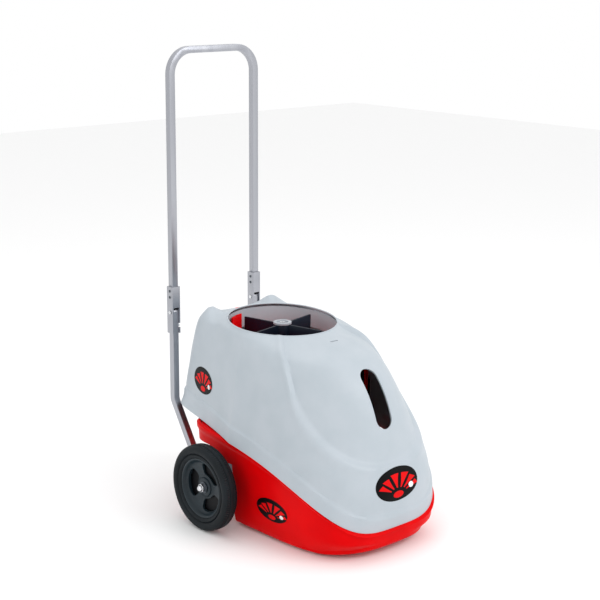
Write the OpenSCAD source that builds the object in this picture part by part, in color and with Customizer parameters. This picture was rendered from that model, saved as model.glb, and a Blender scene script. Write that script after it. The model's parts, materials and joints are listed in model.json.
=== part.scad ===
// Portable battery ball thrower on two wheels, with its ball hopper turned over as a cover.
// Frame: +Z up, -Y is the front (launch) side, origin on the floor under the centre of the whole machine.

/* [Wheels] */
// Radius of the two transport wheels
wheel_r = 101.6; // [98:0.1:103]
// Width of a tyre
tyre_w = 38; // [34:1:40]
// Outer face of a tyre, from the middle plane
track_half = 257; // [254:1:262]
// Radius of the fixed axle
axle_r = 6.35; // [6:0.05:6.5]
// Place of the axle along the length
axle_y = 64; // [60:1:68]

/* [Handle] */
// Side of the square tube
tube_s = 15.9; // [14:0.1:16]
// Wall of the square tube
tube_wall = 1.5; // [1:0.1:2]
// Middle of a handle tube, from the middle plane
tube_x = 127.6; // [126:0.1:129]
// Place of the upright tubes along the length
tube_y = 318.5; // [318:0.1:321]
// Top of the handle
handle_top = 1087; // [900:1:1150]
// Bend radius of the handle's corners, at the tube's middle
handle_bend = 57; // [40:1:70]
// Height of the folding pivot
fold_z = 452; // [448:1:456]

/* [Hood] */
// Half width of the hood at its rim
hood_half_w = 195; // [192:1:197]
// Height of the rim at the nose
rim_low = 45; // [42:1:48]
// How much higher the rim is at the back
rim_rise = 195; // [190:1:200]
// Middle height of the hopper opening
opening_z = 460; // [456:1:464]
// Outer radius of the opening's collar
opening_r = 131; // [130:1:133]
// Thickness of the hood's wall
hood_wall = 4; // [3:0.5:4]

/* [Base] */
// Thickness of the base tub's wall
tub_wall = 4; // [3:0.5:5]
// Height of the rubber feet
foot_h = 4; // [3:0.5:5]
// Outer radius of the upper body around the feed
drum_r = 120; // [118:1:121]
// Upper face of the upper body
drum_top = 400; // [396:1:402]

/* [Throwing] */
// Radius of a launch wheel
launch_r = 42; // [38:0.5:42]
// Gap between the launch wheels, a little less than a ball
launch_gap = 52; // [50:1:56]
// Radius of the hole that a ball drops through
drop_r = 38; // [36:0.5:39]

/* [Hidden] */
$fn = 64;

RED = "#d8040c";
HOOD_GREY = "#ced8de";
NAVY = "#101a2a";
METAL = "#b7b7bf";
BLACK = "#1b1c1f";

axle_z = wheel_r;
wheel_x = track_half - tyre_w / 2;
run = 0.05;  // radial running clearance of a shaft
free = 0.3;  // clearance between faces that slide past each other

// ---- the hood's skin, from its rim at level 0 to the collar of the opening at level 1
nose_y = -331;
RIM_REACH = 190;
LEVELS = [0, 0.06, 0.12, 0.2, 0.32, 0.44, 0.56, 0.69, 0.8, 0.887, 0.93, 0.967, 1];
HALF_W = [[0, hood_half_w], [0.12, 192], [0.2, 190], [0.44, 179], [0.69, 166], [0.887, 152], [0.967, 141],
    [1, opening_r]];
FRONT_Y = [[0, -325], [0.12, -329.5], [0.2, -329.5], [0.31, -321], [0.44, -303], [0.69, -261], [0.887, -201],
    [0.967, -130], [1, axle_y - opening_r]];
REAR_Y = [[0, 303], [0.2, 300], [0.44, 289], [0.69, 271], [0.887, 252], [0.967, 230], [1, axle_y + opening_r]];
FRONT_POWER = [[0, 3.6], [0.2, 3.2], [0.44, 2.65], [0.69, 2.3], [0.887, 2.15], [0.967, 2.1], [1, 2]];
REAR_POWER = [[0, 14], [0.2, 13], [0.44, 11], [0.69, 10], [0.887, 8], [0.967, 4], [1, 2]];
MIDDLE_Y = [[0, -60], [0.2, -50], [0.44, -30], [0.69, 0], [0.887, 30], [0.967, 50], [1, axle_y]];
REAR_TAPER = [[0, 0.29], [0.1, 0.33], [0.44, 0.31], [0.69, 0.28], [0.887, 0.2], [0.967, 0.1], [1, 0]];
BUMP = [94, 211];  // the two raised rear corners
BUMP_H = 20;
BUMP_SHARE = [[0.5, 0], [0.887, 1], [0.967, 1], [1, 0]];  // how much of a bump each level takes
BUMP_SPREAD = 26;
SIDES = 64;

function rim_z(y) = rim_low + rim_rise * (1 - exp(-pow(max(0, (y - nose_y + 7) / RIM_REACH), 0.9)));
function opening_tilt(y) = opening_z + 0.065 * (y - axle_y);
function bump(x, y) = BUMP_H * exp(-(pow(abs(x) - BUMP[0], 2) + pow(y - BUMP[1], 2)) / pow(BUMP_SPREAD, 2));
function oval(a, w, b, n) = pow(pow(abs(cos(a)) / w, n) + pow(abs(sin(a)) / b, n), -1 / n);
function hood_point(a, t, inset) =
    let (
        front = sin(a) < 0,
        w = lookup(t, HALF_W) - inset,
        c = lookup(t, MIDDLE_Y),
        b = (front ? c - lookup(t, FRONT_Y) : lookup(t, REAR_Y) - c) - inset,
        k = oval(a, w, b, lookup(t, front ? FRONT_POWER : REAR_POWER)),
        y = c + k * sin(a),
        back = max(0, (y - 30) / 270),
        x = k * cos(a) * (1 - lookup(t, REAR_TAPER) * pow(back, 0.9)),
        z = (1 - t) * rim_z(y) + t * opening_tilt(y)
    ) [x, y, z + bump(x, y) * lookup(t, BUMP_SHARE)];
function ring(t, inset, drop) = [for (i = [0 : SIDES - 1])
    let (p = hood_point(i * 360 / SIDES, t, inset)) [p[0], p[1], p[2] - drop]];

// a skin over rings of equal length, wound as a tube (closed) or capped at both ends
module skin(rings, closed) {
    n = len(rings[0]);
    m = len(rings);
    last = closed ? m : m - 1;
    sides = [for (i = [0 : last - 1], j = [0 : n - 1])
        let (a = i * n + j, b = i * n + (j + 1) % n, c = ((i + 1) % m) * n + j, d = ((i + 1) % m) * n + (j + 1) % n)
        each [[a, c, d], [a, d, b]]];
    caps = closed ? [] : [[for (j = [0 : n - 1]) j], [for (j = [n - 1 : -1 : 0]) (m - 1) * n + j]];
    polyhedron([for (r = rings) each r], concat(sides, caps), convexity = 8);
}

SLOT_TOP = [-227.8, 382.1];
SLOT_LOW = [-277.2, 302.2];
SLOT_R = 24;
SLOT_LEAN = 58.7;
BOSS = [0, -113, 440];

module slot_cut() hull() for (p = [SLOT_TOP, SLOT_LOW])
    translate([0, p[0], p[1]]) rotate([SLOT_LEAN, 0, 0]) cylinder(r = SLOT_R, h = 90, center = true, $fn = 32);

module skirt_lugs() for (s = [-1, 1], y = [-170, -60, 60, 170]) // inner lugs that rest on the tub
    let (p = hood_point(atan2(y - MIDDLE_Y[0][1], s * 180), 0, hood_wall))
    translate([p[0] - s * 5.5, p[1], p[2] + 4]) hull() {
        cylinder(r = 4, h = 3, $fn = 32);
        translate([s * 3, 0, 0]) cylinder(r = 4, h = 26, $fn = 32);
    }

GUARD_R = 129;  // wall that hangs from the collar round the carousel
GUARD_Z = [412, 456];

module ball_guard() multmatrix([[1, 0, 0, 0], [0, 1, 0, 0], [0, 0.065, 1, -0.065 * axle_y], [0, 0, 0, 1]])
    translate([0, axle_y, GUARD_Z[0]]) difference() {
        cylinder(r = GUARD_R + 2.5, h = GUARD_Z[1] - GUARD_Z[0] + 2, $fn = 96);
        translate([0, 0, -1]) cylinder(r = GUARD_R, h = 60, $fn = 96);
    }

module hood_shell() color(HOOD_GREY) difference() {
    union() {
        ball_guard();
        skin(concat([for (t = LEVELS) ring(t, 0, 0)],
            [for (i = [len(LEVELS) - 1 : -1 : 0]) ring(LEVELS[i], hood_wall, LEVELS[i] > 0.8 ? hood_wall : 0)]), true);
        skirt_lugs();
    }
    slot_cut();
    translate(BOSS) hull() for (s = [-1, 1]) translate([s * 9, 0, -30]) cylinder(r = 2.5, h = 60, $fn = 32);
}

// ---- base tub: full outline cut away behind, over the axle and the frame
TUB_MID = -60;
TUB_REAR = 193.6;
TUB_POWER = [[0, 3], [0.35, 4.2], [1, 4]];  // squareness of the nose from floor to rim
ARCH = [[36, -5], [36, 150], [115, 150], [115, 177.6], [400, 177.6], [400, -5]];

function tub_point(a, v, inset) =
    let (
        front = sin(a) < 0,
        w = 170 + 15 * pow(v, 0.6) - inset,
        b = (front ? TUB_MID + 322 + 4.75 * v : TUB_REAR - TUB_MID) - inset,
        k = oval(a, w, b, front ? lookup(v, TUB_POWER) : 8)
    ) [k * cos(a), TUB_MID + k * sin(a)];
function nose_lift(y) = 14 * pow(max(0, -y - 226.37) / 96, 1.3);
function tub_ring(v, inset, low) = [for (i = [0 : SIDES - 1])
    let (p = tub_point(i * 360 / SIDES, v, inset), top = rim_z(p[1]) - 0.6, floor = low + nose_lift(p[1]))
        [p[0], p[1], floor + (top - floor) * v]];
function flat_ring(inset, z) = [for (i = [0 : SIDES - 1])
    let (p = tub_point(i * 360 / SIDES, 0, inset)) [p[0], p[1], z + nose_lift(p[1])]];

module arch(grow) translate([-250, 0, 0]) rotate([90, 0, 90]) linear_extrude(500)
    polygon([for (i = [0 : 5]) [ARCH[i][0] - (i < 4 ? grow : 0), ARCH[i][1] + (i > 0 && i < 5 ? grow : 0)]]);

module tub_solid() skin([flat_ring(9, foot_h), flat_ring(3, foot_h + 2.5), flat_ring(0, foot_h + 8),
    tub_ring(0.35, 0, foot_h + 8), tub_ring(0.7, 0, foot_h + 8), tub_ring(0.92, 0, foot_h + 8),
    tub_ring(0.95, -3, foot_h + 8), tub_ring(1, -3, foot_h + 8)], false);

module tub_hollow() skin([flat_ring(12, foot_h + tub_wall), flat_ring(tub_wall, foot_h + 12),
    tub_ring(0.5, tub_wall, foot_h + 12), tub_ring(0.94, tub_wall, foot_h + 12),
    [for (p = tub_ring(1, tub_wall, foot_h + 12)) [p[0], p[1], p[2] + 30]]], false);

module tub_ribs() for (s = [-1, 1], y = [-230, -160, -90, -20]) hull() { // floor ribs, two rows of four
    translate([s * 126, y, foot_h + 1]) cylinder(r = 3, h = 14, $fn = 32);
    translate([s * 158, y, foot_h + 6]) cylinder(r = 3, h = 16, $fn = 32);
}

module base_tub() color(RED) difference() {
    union() {
        difference() {
            tub_solid();
            tub_hollow();
        }
        intersection() {
            tub_solid();
            arch(tub_wall);
        }
        intersection() {
            tub_solid();
            tub_ribs();
        }
    }
    arch(0);
}

DRUM_FRONT = -140;
DRUM_CORNER = 60;

module drum_outline(grow) {
    translate([0, axle_y]) circle(r = drum_r + grow, $fn = 96);
    translate([-drum_r - grow, DRUM_FRONT + DRUM_CORNER])
        square([2 * (drum_r + grow), axle_y - DRUM_FRONT - DRUM_CORNER]);
    translate([-drum_r + DRUM_CORNER, DRUM_FRONT - grow])
        square([2 * (drum_r - DRUM_CORNER), DRUM_CORNER + grow + 1]);
    for (s = [-1, 1]) translate([s * (drum_r - DRUM_CORNER), DRUM_FRONT + DRUM_CORNER])
        circle(r = DRUM_CORNER + grow);
}

function deck_ring(inset, lift) = [for (i = [0 : SIDES - 1])
    let (p = tub_point(i * 360 / SIDES, 1, inset)) [p[0], p[1], rim_z(p[1]) + lift]];

COVER_T = 4;
COVER_X = 118;
COVER_Y = -60;
COVER_W = 50;
COVER_L = 240;

module bonnet_deck() color(RED) difference() {
    skin([deck_ring(tub_wall + 1, -6), deck_ring(40, -6), deck_ring(75, -6), deck_ring(75, -3),
        deck_ring(40, -3), deck_ring(tub_wall + 1, -3)], true);
    translate([0, 0, 20]) linear_extrude(300) {
        drum_outline(0.4);
        intersection() { // room for the side covers
            drum_outline(COVER_T + 0.4);
            for (s = [-1, 1]) translate([s * COVER_X, COVER_Y]) square([COVER_W + 1, COVER_L + 1], center = true);
        }
    }
}

WINDOW_W = 150;
WINDOW_Z = [215, 385];
PANEL_X = 55;
PANEL_Z = [259, 351];

module rounded_plate(w, z0, z1, r, t) rotate([90, 0, 0]) linear_extrude(t, center = true) {
    translate([-w / 2 + r, z0]) square([w - 2 * r, z1 - z0]);
    translate([-w / 2, z0 + r]) square([w, z1 - z0 - 2 * r]);
    for (x = [-1, 1], z = [z0 + r, z1 - r]) translate([x * (w / 2 - r), z]) circle(r = r, $fn = 32);
}

module upper_body() color(RED) difference() {
    union() {
        translate([0, 0, 192]) linear_extrude(drum_top - 192) drum_outline(0);
        intersection() {
            translate([0, 0, foot_h + tub_wall]) linear_extrude(190) drum_outline(0);
            translate([-200, -200, 0]) cube([400, 228, 300]);
        }
    }
    translate([0, 0, 1]) linear_extrude(drum_top - 5) drum_outline(-4);
    translate([0, axle_y, drum_top - 6]) cylinder(r = drum_r - 4, h = 20, $fn = 96);
    translate([0, DRUM_FRONT, 0]) rounded_plate(WINDOW_W, WINDOW_Z[0], WINDOW_Z[1], 30, 20);
    translate([-PANEL_X, axle_y + 60, PANEL_Z[0]]) cube([2 * PANEL_X, 90, PANEL_Z[1] - PANEL_Z[0]]);
}

TRAY_R = 125;
TRAY_T = 5;
DROP_Y = axle_y - 75;
LUG_H = 57;
LUG_X = [26, 72];  // the lug's sides, to the left of the middle plane, behind the carousel

module ball_tray() color(RED) difference() {
    union() {
        translate([0, axle_y, drum_top]) cylinder(r = TRAY_R, h = TRAY_T, $fn = 96);
        intersection() { // stop lug that keeps the balls turning into the pockets
            translate([0, axle_y, drum_top]) difference() {
                cylinder(r = TRAY_R, h = LUG_H, $fn = 96);
                translate([0, 0, -1]) cylinder(r = TRAY_R - 4, h = LUG_H + 2, $fn = 96);
            }
            translate([-LUG_X[1], axle_y, drum_top]) cube([LUG_X[1] - LUG_X[0], TRAY_R, LUG_H]);
        }
    }
    translate([0, axle_y, drum_top - 1]) cylinder(r = 16, h = 20);
    translate([0, DROP_Y, drum_top - 1]) cylinder(r = drop_r, h = 20);
}

module launch_throat() color(BLACK) translate([0, DRUM_FRONT + 11, 0]) difference() {
    rounded_plate(WINDOW_W - 1, WINDOW_Z[0] + 0.5, WINDOW_Z[1] - 0.5, 29, 18);
    rounded_plate(WINDOW_W - 9, WINDOW_Z[0] + 4.5, WINDOW_Z[1] - 4.5, 25, 30);
}

// covers over the front corners, with the launch motors' wiring behind them
module side_covers() color(BLACK) for (s = [-1, 1]) intersection() {
    translate([0, 0, 170]) linear_extrude(200) difference() {
        drum_outline(COVER_T);
        drum_outline(0);
    }
    translate([s * COVER_X, COVER_Y, 0]) rounded_plate(COVER_W, 172, 334, 24, COVER_L);
}

module rubber_feet() color(BLACK) for (x = [-110, 110], y = [-210, 0])
    translate([x, y, 0]) cylinder(r = 14, h = foot_h, $fn = 48);

// ---- electrics on the tub's floor
FLOOR = foot_h + tub_wall;
BATTERY = [150, 120, 94];

module battery() color("#2b2f36") translate([-BATTERY[0] / 2, -118, FLOOR]) cube(BATTERY);

module battery_strap() color(BLACK) translate([-12, -121, FLOOR]) difference() {
    cube([24, BATTERY[1] + 6, BATTERY[2] + 3]);
    translate([-1, 3, -1]) cube([26, BATTERY[1], BATTERY[2] + 1]);
}

module control_board() color("#1d6b3a") translate([-45, 17, FLOOR + 8]) {
    cube([90, 2, 90]);
    for (x = [12, 45, 70]) translate([x, -9, 30]) cube([14, 9, 22]);
    for (x = [8, 82], z = [-8]) translate([x - 4, -2, z]) cube([8, 6, 8]);
}

// ---- ball feed
GEARBOX = [64, 50, 30];

module feed_bracket() color(METAL) difference() {
    translate([-42, axle_y - 30, drum_top - 4]) cube([84, 60, 4]);
    translate([0, axle_y, drum_top - 10]) cylinder(r = 12, h = 20);
}

module feed_motor() color("#8b8f96") {
    difference() {
        translate([-GEARBOX[0] / 2, axle_y - GEARBOX[1] / 2, drum_top - 4 - GEARBOX[2]]) cube(GEARBOX);
        translate([0, axle_y, drum_top - 26]) cylinder(r = 6 + run, h = 30);
    }
    translate([0, axle_y, drum_top - 104]) cylinder(r = 18, h = 70);
}

module ball_chute() color(BLACK) translate([0, DROP_Y, drum_top - 32]) difference() {
    cylinder(r = drop_r + 2.5, h = 32);
    translate([0, 0, -1]) cylinder(r = drop_r, h = 40);
}

VANE_Z = drum_top + TRAY_T + 4;
VANE_H = 42;
VANE_R = 112;
VANE_TURN = 12;  // angle of the first vane
HUB_R = 21.5;

module feed_shaft() color(METAL) translate([0, axle_y, drum_top - 24]) cylinder(r = 6, h = 66);

module carousel_rotor() color(NAVY) translate([0, axle_y, VANE_Z]) difference() {
    union() {
        cylinder(r = HUB_R, h = VANE_H);
        for (i = [0 : 3]) rotate(VANE_TURN + 90 * i) translate([14, -2.5, 0]) cube([VANE_R - 14, 5, VANE_H]);
    }
    translate([0, 0, -1]) cylinder(r = 6, h = VANE_H + 2);
}

module carousel_cap() color(METAL) translate([0, axle_y, VANE_Z + VANE_H]) difference() {
    cylinder(r = HUB_R, h = 5);
    translate([0, 0, 1]) cylinder(r = 14, h = 5);
    translate([0, 0, -1]) cylinder(r = 3.2, h = 5);
}

module carousel_screw() color(METAL) translate([0, axle_y, VANE_Z + VANE_H + 1]) difference() {
    union() {
        cylinder(r = 6, h = 3);
        translate([0, 0, -4]) cylinder(r = 3, h = 5);
    }
    translate([0, 0, 1.5]) cylinder(r = 2.5, h = 3, $fn = 6);
}

// ---- launcher: a cradle that tilts on two pins, with two driven wheels
TILT = [15, 320];
LAUNCH_Y = -60;
launch_x = launch_gap / 2 + launch_r;
CRADLE_X = 104;
CRADLE_Z = 264;

module at_tilt(x) translate([x, TILT[0], TILT[1]]) rotate([0, 90, 0]) children();

module launcher_cradle() color("#9aa0a6") difference() {
    union() {
        translate([-CRADLE_X, -104, CRADLE_Z]) cube([2 * CRADLE_X, 124, 4]);
        for (s = [-1, 1]) translate([s * (CRADLE_X - 2) - 2, -10, CRADLE_Z]) cube([4, 30, TILT[1] - CRADLE_Z]);
        for (s = [-1, 1]) at_tilt(s * (CRADLE_X - 2) - 2) cylinder(r = 14, h = 4);
        for (s = [0, 1]) at_tilt(s ? CRADLE_X : -CRADLE_X - 8) cylinder(r = 6, h = 8);
        translate([-26, -20, CRADLE_Z + 4]) cube([52, 40, 14]); // ramp under the ball
    }
    for (s = [-1, 1]) translate([s * launch_x, LAUNCH_Y, CRADLE_Z - 1]) cylinder(r = 6, h = 6);
}

module tilt_bearings() color(BLACK) for (s = [-1, 1]) difference() {
    translate([s * 111 - 5, TILT[0] - 14, TILT[1] - 14]) cube([10, 28, 28]);
    at_tilt(s * 111 - 10) cylinder(r = 6 + run, h = 20);
}

module launch_motors() color("#8b8f96") for (s = [-1, 1]) translate([s * launch_x, LAUNCH_Y, CRADLE_Z - 49]) {
    cylinder(r = 18, h = 49);
    translate([0, 0, -6]) cylinder(r = 6, h = 6);
}

module launch_hub(s) color(METAL) translate([s * launch_x, LAUNCH_Y, 0]) {
    translate([0, 0, CRADLE_Z + 0.3]) cylinder(r = 4, h = TILT[1] - CRADLE_Z + 26);
    translate([0, 0, TILT[1] - 18]) difference() {
        cylinder(r = 22, h = 36);
        translate([0, 0, 30]) cylinder(r = 16, h = 10);
    }
}

module launch_wheel(s) color("#3a3d44") translate([s * launch_x, LAUNCH_Y, TILT[1] - 20]) rotate_extrude()
    polygon([[22, 0], [launch_r - 2, 0], [launch_r, 3], [launch_r - 3, 20], [launch_r, 37], [launch_r - 2, 40],
        [22, 40]]);

// gear pair of the tilt drive: module 2.4, sector of a 50-tooth wheel and a 10-tooth pinion
GEAR_M = 2.4;
SECTOR_TEETH = 50;
PINION_TEETH = 10;
sector_r = GEAR_M * SECTOR_TEETH / 2;
pinion_r = GEAR_M * PINION_TEETH / 2;
MESH_AT = 20;  // where the pinion sits, from straight down towards the back
pinion_y = TILT[0] + (sector_r + pinion_r) * sin(MESH_AT);
pinion_z = TILT[1] - (sector_r + pinion_r) * cos(MESH_AT);
SECTOR_X = -100;

module tooth(r) polygon([[r - 3, -2.2], [r - 1.5, -1.9], [r + 1.9, -1], [r + 1.9, 1], [r - 1.5, 1.9], [r - 3, 2.2]]);

module wedge(r, a0, a1) polygon(concat([[0, 0]], [for (i = [0 : 12]) r * [cos(a0 + (a1 - a0) * i / 12),
    sin(a0 + (a1 - a0) * i / 12)]]));

// drawn in a plane whose first axis points down and whose second points back
module tilt_sector() color(METAL) at_tilt(SECTOR_X) linear_extrude(6) {
    difference() {
        union() {
            circle(r = 14);
            wedge(sector_r - 2.9, MESH_AT - 14, MESH_AT + 36);
        }
        circle(r = 6);
    }
    for (k = [-2 : 4]) rotate(MESH_AT + (k + 0.5) * 360 / SECTOR_TEETH) tooth(sector_r);
}

module tilt_pinion() color("#d9c27a") translate([SECTOR_X, pinion_y, pinion_z]) rotate([0, 90, 0]) {
    linear_extrude(6) {
        circle(r = pinion_r - 2.9);
        for (k = [0 : PINION_TEETH - 1]) rotate(MESH_AT + 180 + k * 360 / PINION_TEETH) tooth(pinion_r);
    }
    cylinder(r = 3, h = 30);
}

module tilt_motor() color("#8b8f96") translate([SECTOR_X + 10, pinion_y, pinion_z]) rotate([0, 90, 0]) difference() {
    cylinder(r = 16, h = 62);
    translate([0, 0, -1]) cylinder(r = 3 + run, h = 22);
}

SHELF = 154;  // inside of the tub over the axle

module tilt_motor_bracket() color(METAL) difference() {
    translate([SECTOR_X + 30, pinion_y - 14, SHELF]) cube([14, 28, pinion_z - SHELF]);
    translate([SECTOR_X, pinion_y, pinion_z]) rotate([0, 90, 0]) cylinder(r = 16, h = 80);
}

// ---- rear control panel
KNOBS = [-34, 0, 34];
KNOB_Z = 285;
PANEL_Y = 168;

module rear_panel() color(BLACK) difference() {
    translate([-PANEL_X, PANEL_Y, PANEL_Z[0]]) cube([2 * PANEL_X, 4, PANEL_Z[1] - PANEL_Z[0]]);
    for (x = KNOBS) translate([x, PANEL_Y + 5, KNOB_Z]) rotate([90, 0, 0]) cylinder(r = 3 + run, h = 6);
    translate([-34 - 10.5, PANEL_Y - 1, 317]) cube([21, 6, 14]);
    translate([28, PANEL_Y + 5, 324]) rotate([90, 0, 0]) cylinder(r = 7, h = 6);
}

module knob(i) color("#2c2d31") translate([KNOBS[i], PANEL_Y, KNOB_Z]) rotate([-90, 0, 0]) {
    translate([0, 0, -6]) cylinder(r = 3, h = 12);
    translate([0, 0, 4 + free]) cylinder(r = 10, h = 10, $fn = 48);
    translate([-0.9, -9, 4 + free]) cube([1.8, 9, 11]);
}

module power_rocker() color("#b3141a") translate([-34, PANEL_Y, 324]) intersection() {
    rotate([0, 90, 0]) translate([0, 0, -10]) cylinder(r = 6.4, h = 20);
    translate([-10, -6.4, -6.4]) cube([20, 12.8, 12.8]);
}

module charge_socket() color(METAL) translate([28, PANEL_Y + 5, 324]) rotate([90, 0, 0]) difference() {
    union() {
        cylinder(r = 7, h = 14);
        translate([0, 0, -1]) cylinder(r = 9, h = 2);
    }
    translate([0, 0, -2]) cylinder(r = 3, h = 12);
}

// ---- axle and wheels
module along_x(x0, x1, r) translate([x0, axle_y, axle_z]) rotate([0, 90, 0]) cylinder(r = r, h = x1 - x0);

HUB_IN = 222;   // inner face of a hub's boss
HUB_OUT = 240;  // outer face
RIM_R = 70;

module axle() color(METAL) along_x(-250, 250, axle_r);

module axle_spacers() color(METAL) for (s = [-1, 1]) difference() {
    along_x(s > 0 ? tube_x + tube_s / 2 + 3.4 : -HUB_IN + 2.4, s > 0 ? HUB_IN - 2.4 : -tube_x - tube_s / 2 - 3.4, 9.5);
    along_x(-251, 251, axle_r);
}

module axle_washers() color("#3b3f45") for (s = [-1, 1], x = [HUB_IN - 2.3, HUB_OUT + 0.3]) difference() {
    along_x(s * (x + 1) - 1, s * (x + 1) + 1, 13);
    along_x(-260, 260, axle_r);
}

module axle_nuts() color("#d9dade") for (s = [-1, 1]) translate([s * (HUB_OUT + 2.3), axle_y, axle_z])
    rotate([0, s * 90, 0]) difference() {
        union() {
            cylinder(r = 10.6, h = 8, $fn = 6);
            translate([0, 0, 8]) intersection() {
                sphere(r = 8);
                cylinder(r = 9, h = 9);
            }
        }
        translate([0, 0, -1]) cylinder(r = axle_r, h = 9.7);
    }

module turned(s) translate([s * wheel_x, axle_y, axle_z]) rotate([0, s * 90, 0]) rotate_extrude($fn = 128) children();

module tyre(s) color("#2b3138") turned(s) polygon([[RIM_R, -14], [78, -16], [80, -14.5], [82, -17], [90, -tyre_w / 2],
    [96, -tyre_w / 2 + 2], [100.5, -13], [wheel_r, -6], [wheel_r, 6], [100.5, 13], [96, tyre_w / 2 - 2],
    [90, tyre_w / 2], [82, 17], [80, 14.5], [78, 16], [RIM_R, 14]]);

module hub(s) color("#3d454d") difference() {
    turned(s) polygon([[9, HUB_IN - wheel_x], [22, HUB_IN - wheel_x], [25, -6], [58, -2], [64, -13], [RIM_R, -13],
        [RIM_R, 13], [66, 13], [60, 3], [25, 0], [22, HUB_OUT - wheel_x], [9, HUB_OUT - wheel_x]]);
    for (i = [0 : 2]) translate([s * wheel_x, axle_y, axle_z]) rotate([0, s * 90, 0]) rotate(i * 120) difference() {
        intersection() {
            translate([0, 0, -20]) cylinder(r = 56.5, h = 40);
            translate([0, 0, -20]) linear_extrude(40) wedge(80, 50, 130);
        }
        translate([0, 0, -21]) cylinder(r = 29, h = 42);
    }
}

module hub_bush(s) color("#d8d4c8") difference() {
    along_x(s > 0 ? HUB_IN : -HUB_OUT, s > 0 ? HUB_OUT : -HUB_IN, 9);
    along_x(-260, 260, axle_r + run);
}

// ---- lower frame tubes: up from the axle, behind the hood, to the folding pivot
TUBE_BEND = 30;
LEAN = 32.5;   // lean of the slanted stretch
PATH = [[tube_y, fold_z], [tube_y, 231.6], [tube_y - (231.6 - axle_z) * tan(LEAN), axle_z], [axle_y - 12, axle_z]];

function unit(v) = v / norm(v);
function bend_arc(i, off) =  // the arc of bend i, moved off to the left of the way down the tube
    let (
        p = PATH[i], u = unit(PATH[i - 1] - p), v = unit(PATH[i + 1] - p), half = acos(u * v) / 2,
        m = p + unit(u + v) * TUBE_BEND / sin(half), turn = cross(-u, v) > 0 ? 1 : -1,
        s = p + u * TUBE_BEND / tan(half) - m, a = atan2(s[1], s[0]), r = TUBE_BEND - off * turn
    ) [for (k = [0 : 8]) m + r * [cos(a + turn * (180 - 2 * half) * k / 8), sin(a + turn * (180 - 2 * half) * k / 8)]];
function backwards(v) = [for (i = [len(v) - 1 : -1 : 0]) v[i]];

module path_outline(off, top, end) polygon(concat(
    [[tube_y + off, fold_z + top]], bend_arc(1, off), bend_arc(2, off),
    [[PATH[3][0] - end, axle_z - off], [PATH[3][0] - end, axle_z + off]],
    backwards(bend_arc(2, -off)), backwards(bend_arc(1, -off)), [[tube_y - off, fold_z + top]]));

module in_yz(x, t) translate([x - t / 2, 0, 0]) rotate([90, 0, 90]) linear_extrude(t) children();

BUTTON_Z = fold_z - 34;
BUTTON_R = 4;
PIN_R = 3;

module frame_tube(s) color(METAL) difference() {
    union() {
        in_yz(s * tube_x, tube_s) path_outline(tube_s / 2, 0, 0);
        translate([s * tube_x - tube_s / 2, tube_y, fold_z]) rotate([0, 90, 0]) cylinder(r = tube_s / 2, h = tube_s);
    }
    in_yz(s * tube_x, tube_s - 2 * tube_wall) path_outline(tube_s / 2 - tube_wall, -12, 5);
    translate([s * tube_x - 15, tube_y, fold_z]) rotate([0, 90, 0]) cylinder(r = PIN_R, h = 30);
    translate([s * tube_x, tube_y, BUTTON_Z]) rotate([0, -s * 90, 0]) cylinder(r = BUTTON_R + run, h = 30);
    along_x(-200, 200, axle_r);
}

module frame_crossbar() color(METAL) translate([-tube_x + tube_s / 2, 180 - tube_s / 2, axle_z - tube_s / 2])
    difference() {
        cube([2 * tube_x - tube_s, tube_s, tube_s]);
        translate([-1, tube_wall, tube_wall]) cube([2 * tube_x, tube_s - 2 * tube_wall, tube_s - 2 * tube_wall]);
    }

BRACKET = [22, 50, 150 - axle_z - tube_s / 2];
BRACKET_T = 3;

module frame_brackets() color("#5b6066") for (s = [-1, 1])
    translate([s * tube_x - BRACKET[0] / 2, 50, axle_z + tube_s / 2]) difference() {
        cube(BRACKET);
        translate([BRACKET_T, -1, BRACKET_T]) cube([BRACKET[0] - 2 * BRACKET_T, BRACKET[1] + 2, BRACKET[2] - 2 * BRACKET_T]);
    }

SLEEVE_S = 22.5;
SLEEVE_IN = tube_s + 2 * free;
SLEEVE_Z = [400, 516];
SLEEVE_CLOSED = 464;  // the front face is open below this height

module fold_pins() color("#d9dade") for (s = [-1, 1]) translate([s * tube_x, tube_y, fold_z]) rotate([0, 90, 0]) {
    translate([0, 0, -SLEEVE_S / 2 - 1]) cylinder(r = PIN_R, h = SLEEVE_S + 2);
    for (e = [-1, 1]) translate([0, 0, e * (SLEEVE_S / 2 + free + 0.6) - 0.6]) cylinder(r = 4.6, h = 1.2);
}

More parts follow.
